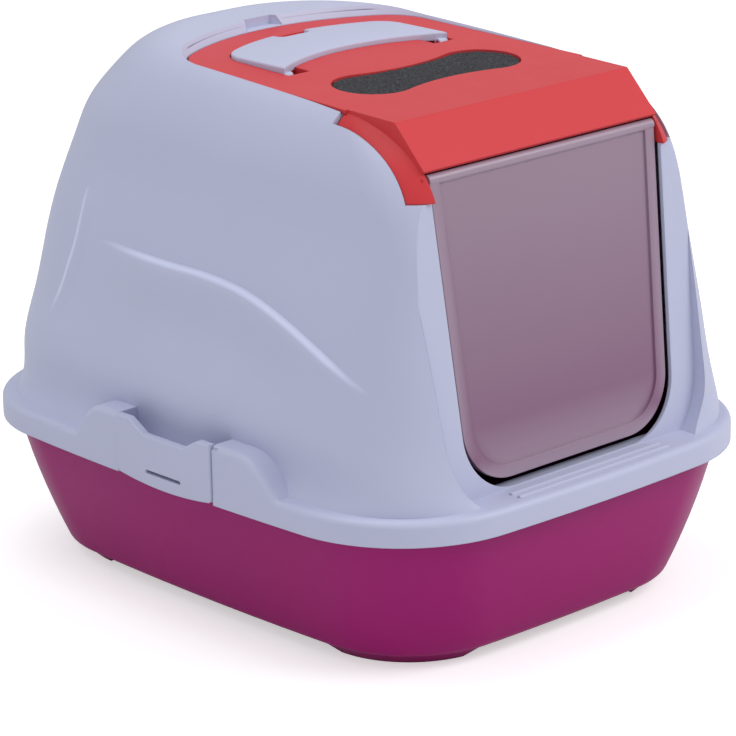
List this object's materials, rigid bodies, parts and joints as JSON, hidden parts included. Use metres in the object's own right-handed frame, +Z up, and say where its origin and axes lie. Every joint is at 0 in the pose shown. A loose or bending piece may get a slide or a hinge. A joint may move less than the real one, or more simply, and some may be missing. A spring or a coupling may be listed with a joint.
{
  "type": "covered litter box",
  "caption": "Covered cat litter box: flared tray, clip-on domed hood, flip-up roof lid with a visor, clear swing door, fold-up carry handle and a carbon filter.",
  "frame": {"origin": "on the floor under the middle of the box", "axes": "+Z up, the doorway faces -Y, +X to the right of someone who looks along +Y"},
  "size_m": [0.402, 0.5, 0.398],
  "materials": {
    "tray_plastic": "glossy magenta moulded plastic",
    "hood_plastic": "satin pale lavender-grey moulded plastic",
    "lid_plastic": "satin red moulded plastic",
    "smoked_plastic": "smoked clear plastic",
    "filter_foam": "dark speckled foam"
  },
  "bodies": {
    "tray": {"base_tray": "tray_plastic"},
    "hood": {"hood": "hood_plastic", "left_lid_hinge_pin": "hood_plastic", "right_lid_hinge_pin": "hood_plastic", "left_clip_front_pin": "hood_plastic", "left_clip_rear_pin": "hood_plastic", "right_clip_front_pin": "hood_plastic", "right_clip_rear_pin": "hood_plastic"},
    "lid": {"flip_lid": "lid_plastic", "carbon_filter": "filter_foam", "filter_holder": "lid_plastic", "left_door_pin": "lid_plastic", "right_door_pin": "lid_plastic", "left_handle_pin": "lid_plastic", "right_handle_pin": "lid_plastic"},
    "door": {"swing_door": "smoked_plastic"},
    "handle": {"carry_handle": "hood_plastic"},
    "left_clip": {"left_clip": "hood_plastic"},
    "right_clip": {"right_clip": "hood_plastic"}
  },
  "joints": [
    {"name": "hood_lift", "type": "slide", "parent": "tray", "child": "hood", "axis": [0, 0, 1], "range_m": [0, 0.25]},
    {"name": "lid_flip", "type": "hinge", "parent": "hood", "child": "lid", "pos_m": [0, 0.04, 0.38119], "axis": [-1, 0, 0], "range_deg": [0, 100]},
    {"name": "door_swing", "type": "hinge", "parent": "lid", "child": "door", "pos_m": [0, -0.187, 0.346], "axis": [1, 0, 0], "range_deg": [-60, 75]},
    {"name": "handle_fold", "type": "hinge", "parent": "lid", "child": "handle", "pos_m": [0, -0.011, 0.38367], "axis": [1, 0, 0], "range_deg": [0, 90]},
    {"name": "left_clip_swing", "type": "hinge", "parent": "hood", "child": "left_clip", "pos_m": [-0.1973, -0.011, 0.1492], "axis": [0, 1, 0], "range_deg": [0, 100]},
    {"name": "right_clip_swing", "type": "hinge", "parent": "hood", "child": "right_clip", "pos_m": [0.1973, -0.011, 0.1492], "axis": [0, -1, 0], "range_deg": [0, 100]}
  ]
}
